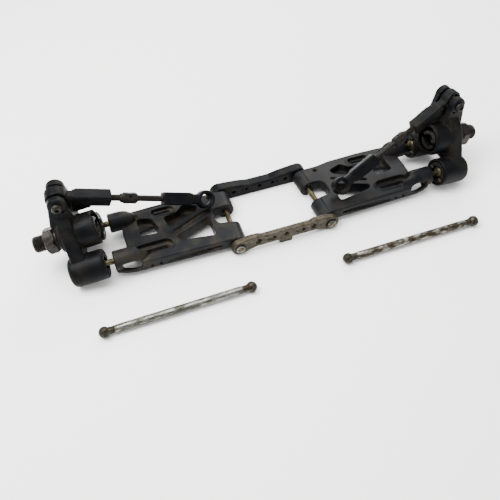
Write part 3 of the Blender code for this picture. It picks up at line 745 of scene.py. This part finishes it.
def wheel_hex():
    """The wheel hex with its threaded nose and the groove for the drive pin."""
    at = along_s(0, AXLE_W)
    low = HEX_IN + 1.6
    six_sided = [(low, 0), (low, HEX_CORNER), (HEX_OUT, HEX_CORNER), (HEX_OUT, 0)]
    obj = put("right_hex_and_nose", turned(six_sided, 6), at)
    facing = [(low - 1, 0), (low - 1, 7.4), (low + 1.4, 9.7), (HEX_OUT - 1.2, 9.7),
              (HEX_OUT + 0.6, 7.6), (HEX_OUT + 0.6, 0)]
    combine(obj, turned(facing, 48), "INTERSECT", at)
    collar = [(HEX_IN, 0), (HEX_IN, 6.9), (HEX_IN + 0.5, 7.4), (HEX_IN + 3.0, 7.4), (HEX_IN + 3.0, 0)]
    add(obj, turned(collar, 40), at)
    neck = [(HEX_OUT - 2.0, 0), (HEX_OUT - 2.0, 5.2), (HEX_OUT + 1.4, 5.2), (HEX_OUT + 1.4, 0)]
    add(obj, turned(neck, 40), at)
    add(obj, threaded(HEX_OUT + 0.6, NOSE_OUT, 6.0, 1.5, 0.75, 40, 8), at)
    loose = AXLE_R + GAP
    bore = [(HEX_IN - 2, 0), (HEX_IN - 2, loose), (HEX_OUT - 1.5, loose), (HEX_OUT - 1.5, 0)]
    cut(obj, turned(bore, 32), at)
    centre_hole = [(NOSE_OUT - 2.2, 0), (NOSE_OUT - 2.2, 2.9), (NOSE_OUT - 0.4, 3.1),
                   (NOSE_OUT + 1, 3.8), (NOSE_OUT + 1, 0)]
    cut(obj, turned(centre_hole, 32), at)
    groove = [(HEX_IN - 1, AXLE_W - GROOVE_HALF), (23.6, AXLE_W - GROOVE_HALF),
              (23.6, AXLE_W + GROOVE_HALF), (HEX_IN - 1, AXLE_W + GROOVE_HALF)]
    cut(obj, *plate_sw(groove, -SLIT_HALF, SLIT_HALF))
    hole = turned([(3.0, 0), (3.0, 1.5), (8.1, 1.5), (8.9, 2.0), (14.0, 2.0), (14.0, 0)], 20)
    return shade(cut(obj, hole, at @ step(GRUB_S) @ QUARTER_Z))


def grub_screw():
    at = along_s(0, AXLE_W) @ step(GRUB_S) @ QUARTER_Z
    obj = put("right_set_screw", threaded(4.5, 7.9, 1.3, 0.5, 0.2, 20, 5), at)
    socket = turned([(6.4, 0), (6.4, 0.65), (9, 0.65), (9, 0)], 6)
    return shade(cut(obj, socket, at))


# ---------------------------------------------------------------- camber links

INNER_START = 76.0
LINK_LENGTH = 109.5
OUTER_END = 37.5
HEX_MIDDLE = 51.3


def eye_shape(radius, width, edge=0.8):
    """An eye whose hole runs along the link frame's y."""
    shape = turned(barrel(-width / 2, width / 2, radius, edge), 48)
    shape.transform(QUARTER_Z)
    return shape


def square_body(half, trim, low, high, bevel):
    """A square bar along x with its four long edges trimmed."""
    section = [(-half, trim - half), (trim - half, -half), (half - trim, -half), (half, trim - half),
               (half, half - trim), (half - trim, half), (trim - half, half), (-half, half - trim)]
    return prism(section, low, high, bevel), ACROSS


def rod_end(name, at, centre, far, radius, width, hole_r):
    """A plastic rod end: an eye, a neck that swells from it, and a square body."""
    toward = 1 if far > centre else -1
    eye = at @ step(centre)
    obj = put(name, eye_shape(radius, width), eye)
    for half, trim, start in ((3.7, 1.2, radius - 3.0), (4.2, 0.9, 10.8), (4.6, 0.7, 12.4)):
        low, high = sorted((centre + toward * start, far))
        shape, turn = square_body(half, trim, low, high, 0.5)
        add(obj, shape, at @ turn)
    collar = [(far - toward, 0), (far - toward, 3.3), (far + toward * 0.5, 3.3), (far + toward * 0.5, 0)]
    add(obj, turned(collar, 28), at)
    cut(obj, eye_shape(hole_r, 30, 0.1), eye)
    for face in (-1, 1):
        lip = turned([(-1.0, 0), (-1.0, hole_r), (0.9, hole_r + 1.2), (2.0, hole_r + 1.2), (2.0, 0)], 32)
        turn = Matrix.Rotation(face * math.pi / 2, 4, "Z") @ step(width / 2 - 0.9)
        cut(obj, lip, eye @ turn)
    bore = [(far - toward * 16, 0), (far - toward * 16, 2.5), (far + toward, 2.5), (far + toward, 0)]
    cut(obj, turned(bore, 24), at)
    return shade(moulded(obj, 0.3, 3, 0.3))


def turnbuckle(name, at):
    """The link's screw: a left-hand and a right-hand thread with a hex between them."""
    profile = [(44.5, 0), (44.5, 2.9), (45.0, 3.2), (46.4, 3.2), (46.4, 2.4), (57.4, 2.4), (57.8, 2.2),
               (74.5, 2.2), (74.5, 0)]
    obj = put(name, turned(profile, 32), at)
    add(obj, threaded(23.6, 45.0, 2.45, 0.8, 0.35, 24, 5), at)
    add(obj, threaded(74.0, 88.0, 2.3, 0.8, 0.3, 24, 5), at)
    nut = put("hex", turned([(46.2, 0), (46.2, 4.3), (56.5, 4.3), (56.5, 0)], 6), at)
    facing = turned([(45.9, 0), (45.9, 3.2), (47.0, 4.2), (55.6, 4.2), (56.8, 3.2), (56.8, 0)], 40)
    combine(nut, facing, "INTERSECT", at)
    merge(obj, nut, "UNION")
    for turn in (30, 120):
        hole = turned([(-6, 0), (-6, 1.0), (6, 1.0), (6, 0)], 16)
        cut(obj, hole, at @ step(HEX_MIDDLE) @ Matrix.Rotation(math.radians(turn), 4, "X") @ QUARTER_Y)
    return shade(obj, 28)


# ---------------------------------------------------------------- holders and pins

NEAR_Y = (-2.2, 2.2)
NEAR_CUT = (-9, 9)
NEAR_HOLE_X = 22.1
NEAR_HOLE_Z = 8.8
FAR_Y = (54.6, 63.0)
FAR_CUT = (50, 70)
FAR_HOLE_Z = 6.3
PIN_R = 2.0


def both_sides(half):
    return half + [(-x, z) for x, z in reversed(half[1:])]


def lobe_at(side, y=0.0):
    return (side * pin_point(y).x, PIN_Z)


def near_holder():
    half = [(0, 12.8), (19.0, 12.8), (22.0, 14.1), (28.6, 14.4)]
    half += arc(lobe_at(1), 6.4, 68, -90, 14)
    half += [(24.0, 3.8), (5.2, 3.8), (4.8, 0.0)]
    obj = put("near_holder_plate", *plate_xz(both_sides(half), *NEAR_Y, 0.45))
    for side in (-1, 1):
        cut(obj, *plate_xz(slot((side * 11.6, 8.6), 1.7, 1.7), *NEAR_CUT))
        hole_x = side * NEAR_HOLE_X
        cut(obj, *plate_xz(circle((hole_x, NEAR_HOLE_Z), 1.8), *NEAR_CUT))
        sink = turned([(-4.0, 0), (-4.0, 4.6), (-2.2, 2.9), (-1.2, 1.8), (0, 0)], 32)
        cut(obj, sink, Matrix.Translation((hole_x, 0, NEAR_HOLE_Z)) @ QUARTER_Z)
        cut(obj, *plate_xz(circle(lobe_at(side), 3.7, 32), *NEAR_CUT))
    cut(obj, *plate_xz(circle((0, NEAR_HOLE_Z), 1.5), *NEAR_CUT))
    sink = turned([(-4.0, 0), (-4.0, 4.2), (-2.2, 2.4), (-1.4, 1.5), (0, 0)], 32)
    cut(obj, sink, Matrix.Translation((0, 0, NEAR_HOLE_Z)) @ QUARTER_Z)
    return shade(roughen(moulded(obj, 0.28, 2, 0.35), 0.10, 3.0), 50)


def far_holder():
    mid = sum(FAR_Y) / 2
    half = [(0, 9.6), (9.0, 9.6), (16.5, 11.2), (26.0, 12.4)]
    half += arc(lobe_at(1, mid), 6.5, 88, -90, 14)
    half += [(24.0, 0.0)]
    obj = put("far_holder_block", *plate_xz(both_sides(half), *FAR_Y, 1.3))
    for x, radius in ((-22, 1.7), (22, 1.7), (0, 1.7), (-11, 1.4), (11, 1.4)):
        cut(obj, *plate_xz(circle((x, FAR_HOLE_Z), radius), *FAR_CUT))
    for x in (-14.5, 14.5):
        cut(obj, *plate_xz([(x - 1.6, 8.6), (x + 1.6, 8.6), (x, 5.6)], FAR_CUT[0], FAR_Y[0] + 0.9))
    for side in (-1, 1):
        cut(obj, *plate_xz(circle(lobe_at(side, mid), 3.8, 32), *FAR_CUT))
        pocket = [(side * 6.0, 3.0), (side * 17.0, 3.0), (side * 17.0, 4.0), (side * 6.0, 4.0)]
        cut(obj, *plate_xz(pocket, FAR_Y[1] - 1.0, FAR_CUT[1]))
    return shade(moulded(obj))


def hinge_pin():
    start = pin_point(-4.0)
    length = (pin_point(62.0) - start).length
    profile = [(0, 0), (0, 1.5), (0.15, 1.8), (0.5, PIN_R), (0.6, PIN_R), (0.6, 1.6), (1.5, 1.6),
               (1.5, PIN_R), (length - 0.5, PIN_R), (length, 1.5), (length, 0)]
    return shade(put("right_hinge_rod", turned(profile, 32), frame_along(start, pin_direction())))


def bushing(name, y_span, flange):
    """A plastic bushing between a pin and its holder, with a flange where it faces out."""
    start = pin_point(y_span[0])
    length = (pin_point(y_span[1]) - start).length
    inner, outer = PIN_R + GAP, 3.45
    profile = [(0, inner), (0, outer), (length, outer), (length, inner)]
    if flange:
        profile = [(-0.6, inner), (-0.6, 4.2), (-0.15, 4.4), (-0.1, 4.4), (-0.1, outer)] + profile[2:]
    return shade(put(name, turned(profile, 36, ring=True), frame_along(start, pin_direction())))


def pin_clip():
    """The retaining ring that sits in the groove at the pin's near end."""
    inner = PIN_R + 0.25
    profile = [(0, inner), (0, 3.3), (0.15, 3.5), (0.55, 3.5), (0.7, 3.3), (0.7, inner)]
    at = frame_along(pin_point(-3.5), pin_direction())
    return shade(put("right_snap_ring", turned(profile, 36, ring=True), at))


def droop_screw():
    x, y = DROOP_XY
    upright = frame_of(Vector((x, y, 0)), Z, X, Y)
    obj = put("right_droop_stop", threaded(3.0, 12.4, 1.5, 0.6, 0.25, 24, 5), upright)
    socket = turned([(10.6, 0), (10.6, 0.85), (14, 0.85), (14, 0)], 6)
    return shade(cut(obj, socket, upright))


# ---------------------------------------------------------------- loose drive shafts

DOG_BALL_R = 4.0
CROSS_PIN_R = 1.25
STAIN_REACH = 6.5
DOG_PIN_TURN = math.radians(58.0)


def dog_ends(word):
    """The centres of a drive shaft's two ball ends, from left to right."""
    inner, outer = (middle(f"{word}_{end}_cross_pin") for end in ("inner", "outer"))
    return sorted((inner, outer), key=lambda point: point.x)


def drive_shaft(name, word):
    start, end = dog_ends(word)
    length = (end - start).length
    ball = ball_profile(DOG_BALL_R, 14, -90, 48)
    neck = ball + [(3.6, 2.75), (4.6, 2.6), (7.0, 2.65), (9.0, 2.85)]
    profile = neck + [(length - along, radius) for along, radius in reversed(neck)]
    at = frame_along(start, end - start)
    obj = put(name, turned(profile, 36), at)
    for along in (0, length):
        flat = turned([(DOG_BALL_R - 0.55, 0), (DOG_BALL_R - 0.55, 2.4), (8, 2.4), (8, 0)], 24)
        for face in (0, math.pi):
            turn = Matrix.Rotation(DOG_PIN_TURN + face, 4, "X") @ Matrix.Rotation(-math.pi / 2, 4, "Y")
            cut(obj, flat.copy(), at @ step(along) @ turn)
        flat.free()
    return shade(obj, 40)


def stain_ends(obj, word, material):
    """Give the ball ends of a drive shaft their own, browner finish."""
    obj.data.materials.append(material)
    ends = dog_ends(word)
    for face in obj.data.polygons:
        near = min((face.center / MM - end).length for end in ends)
        face.material_index = int(near < STAIN_REACH)


def cross_pin(name, node, word):
    low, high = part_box(node)
    start, end = dog_ends(word)
    turn = frame_along(middle(node), end - start, DOG_PIN_TURN) @ QUARTER_Y
    rise = (high.z - low.z) / 2 / MM
    half = (rise - CROSS_PIN_R * math.sin(DOG_PIN_TURN)) / math.cos(DOG_PIN_TURN)
    return shade(put(name, turned(barrel(-half, half, CROSS_PIN_R, 0.35, 3), 24), turn))


# ---------------------------------------------------------------- stage and camera

def make_stage():
    bm = bmesh.new()
    half = 3.0
    corners = ((-half, -half), (half, -half), (half, half), (-half, half))
    bm.faces.new([bm.verts.new((x, y, 0)) for x, y in corners])
    mesh = bpy.data.meshes.new("floor")
    bm.to_mesh(mesh)
    bm.free()
    floor = bpy.data.objects.new("floor", mesh)
    bpy.context.scene.collection.objects.link(floor)
    paint = Paint("pale_floor")
    paint.finish((0.93, 0.93, 0.92), 0.9)
    floor.data.materials.append(paint.material)


LIGHT_AIM = Vector((0, 0.03, 0))


def make_light(name, place, size, power):
    light = bpy.data.lights.new(name, "AREA")
    light.shape = "DISK"
    light.size = size
    light.energy = power
    lamp = bpy.data.objects.new(name, light)
    lamp.location = place
    lamp.rotation_euler = (LIGHT_AIM - Vector(place)).to_track_quat("-Z", "Y").to_euler()
    bpy.context.scene.collection.objects.link(lamp)


def make_lights():
    world = bpy.data.worlds.new("studio")
    world.use_nodes = True
    background = world.node_tree.nodes["Background"]
    background.inputs["Color"].default_value = (1.0, 1.0, 1.0, 1.0)
    background.inputs["Strength"].default_value = 1.1
    bpy.context.scene.world = world
    make_light("overhead", (-0.1, 0.1, 0.9), 0.9, 14.0)
    make_light("key", (-0.5, 0.1, 0.75), 0.5, 13.0)
    make_light("back", (0.4, 0.7, 0.6), 0.6, 9.0)


CAMERA_AZIMUTH = math.radians(-19.92)
CAMERA_ELEVATION = math.radians(50.0)
CAMERA_ROLL = math.radians(-0.29)
CAMERA_LENS = 48.6
CAMERA_DISTANCE = 0.50237
CAMERA_TARGET = Vector((-0.02858, -0.00055, 0.0))


def make_camera():
    azimuth, elevation = CAMERA_AZIMUTH, CAMERA_ELEVATION
    back = Vector((math.sin(azimuth) * math.cos(elevation), -math.cos(azimuth) * math.cos(elevation),
                   math.sin(elevation)))
    level = Vector((math.cos(azimuth), math.sin(azimuth), 0))
    up = back.cross(level)
    right = math.cos(CAMERA_ROLL) * level + math.sin(CAMERA_ROLL) * up
    camera = bpy.data.cameras.new("camera")
    camera.sensor_width = 36.0
    camera.lens = CAMERA_LENS
    camera.clip_start = 0.01
    camera.clip_end = 20.0
    eye = bpy.data.objects.new("camera", camera)
    bpy.context.scene.collection.objects.link(eye)
    eye.matrix_world = frame_of(CAMERA_TARGET + back * CAMERA_DISTANCE, right, back.cross(right), back)
    bpy.context.scene.camera = eye


# ---------------------------------------------------------------- assembly

def settle(obj, material, body, slot_name, *nodes):
    dress(obj, material)
    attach(obj, body)
    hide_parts(*nodes)


def link_frame(word):
    return frame_along(pivot(word + "_link_swing"), axis(word + "_link_adjust"))


HOLDERS = "holders"
INNER_EYE_ROLL = math.radians(45.0)
OUTER_EYE_ROLL = {"right": 0.0, "left": 9.0}


def twins():
    """Right-hand pieces: object, material, body, record slot, CAD node. The left ones mirror them."""
    zinc, bright, dark, nylon_slot = "steel", "bright_steel", "dark_steel", "black_nylon"
    return [
        (lower_arm(), "nylon", "right_arm", nylon_slot, "right_lower_arm"),
        (droop_screw(), "dark", "right_arm", dark, "right_droop_screw"),
        (pillow_ball("right_near_ball_stud", -1), "zinc", "right_arm", zinc, "right_near_pillow_ball"),
        (pillow_ball("right_far_ball_stud", 1), "zinc", "right_arm", zinc, "right_far_pillow_ball"),
        (hub_carrier(), "deep nylon", "right_hub", nylon_slot, "right_hub_carrier"),
        # The cup rings take the dark steel finish partly as painted shade. Their darkness also stands in for
        # the shadow inside each pillow ball's cup.
        (ball_cap("right_near_cup_ring", -1), "dark", "right_hub", dark, "right_near_ball_cap"),
        (ball_cap("right_far_cup_ring", 1), "dark", "right_hub", dark, "right_far_ball_cap"),
        (bearing("right_inner_ball_bearing", 3.4), "bright", "right_hub", bright, "right_inner_bearing"),
        (bearing("right_outer_ball_bearing", 12.8), "bright", "right_hub", bright, "right_outer_bearing"),
        (clevis_screw(), "screw", "right_hub", dark, "right_clevis_screw"),
        (link_ball(), "zinc", "right_hub", zinc, "right_link_ball"),
        (drive_axle(), "dark", "right_axle", dark, "right_drive_axle"),
        (drive_pin(), "bright", "right_axle", bright, "right_hex_drive_pin"),
        (wheel_hex(), "hex", "right_axle", "worn_aluminium", "right_wheel_hex"),
        (grub_screw(), "dark", "right_axle", dark, "right_hex_grub_screw"),
        (hinge_pin(), "zinc", HOLDERS, zinc, "right_inner_hinge_pin"),
        (bushing("right_near_bush", NEAR_Y, True), "deep nylon", HOLDERS, nylon_slot,
         "right_near_pin_bushing"),
        (bushing("right_far_bush", FAR_Y, False), "deep nylon", HOLDERS, nylon_slot,
         "right_far_pin_bushing"),
        (pin_clip(), "bright", HOLDERS, bright, "right_pin_clip"),
    ]


def make_link(word, side, materials):
    at = link_frame(word)
    black = materials["deep nylon"]
    outer_roll = Matrix.Rotation(math.radians(OUTER_EYE_ROLL[word]), 4, "X")
    outer = rod_end(word + "_outer_link_eye", at @ outer_roll, 0.0, OUTER_END, radius=7.6, width=7.4,
                    hole_r=5.0)
    settle(outer, black, word + "_camber_link", "black_nylon", word + "_outer_rod_end")
    inner_roll = Matrix.Rotation(side * INNER_EYE_ROLL, 4, "X")
    inner = rod_end(word + "_inner_link_eye", at @ inner_roll, LINK_LENGTH, INNER_START, radius=6.8,
                    width=8.0, hole_r=3.8)
    settle(inner, black, word + "_link_free_end", "black_nylon", word + "_inner_rod_end")
    screw = turnbuckle(word + "_link_screw", at)
    settle(screw, materials["rusty"], word + "_turnbuckle_screw", "dark_steel", word + "_turnbuckle")


def make_loose_shaft(word, finish, materials):
    body = word + "_loose_drive_shaft"
    shaft = drive_shaft(word + "_dogbone", word)
    settle(shaft, materials[finish], body, "bright_steel", word + "_drive_shaft")
    stain_ends(shaft, word, materials["brown"])
    for end in ("inner", "outer"):
        node = f"{word}_{end}_cross_pin"
        pin = cross_pin(f"{word}_{end}_dogbone_pin", node, word)
        settle(pin, materials["screw"], body, "dark_steel", node)


def left_name(name):
    return name.replace("right_", "left_")


def main():
    materials = make_materials()
    make_stage()
    make_lights()
    make_camera()
    for obj, finish, body, slot_name, node in twins():
        twin = mirrored(obj, left_name(obj.name))
        twin_finish = "dusty nylon" if finish == "nylon" else finish
        settle(obj, materials[finish], body, slot_name, node)
        settle(twin, materials[twin_finish], left_name(body), slot_name, left_name(node))
    settle(near_holder(), materials["alloy"], HOLDERS, "worn_aluminium", "near_hinge_pin_holder")
    settle(far_holder(), materials["deep nylon"], HOLDERS, "black_nylon", "far_hinge_pin_holder")
    for word, side in SIDES:
        make_link(word, side, materials)
        make_loose_shaft(word, "bright" if word == "left" else "blotched", materials)


main()
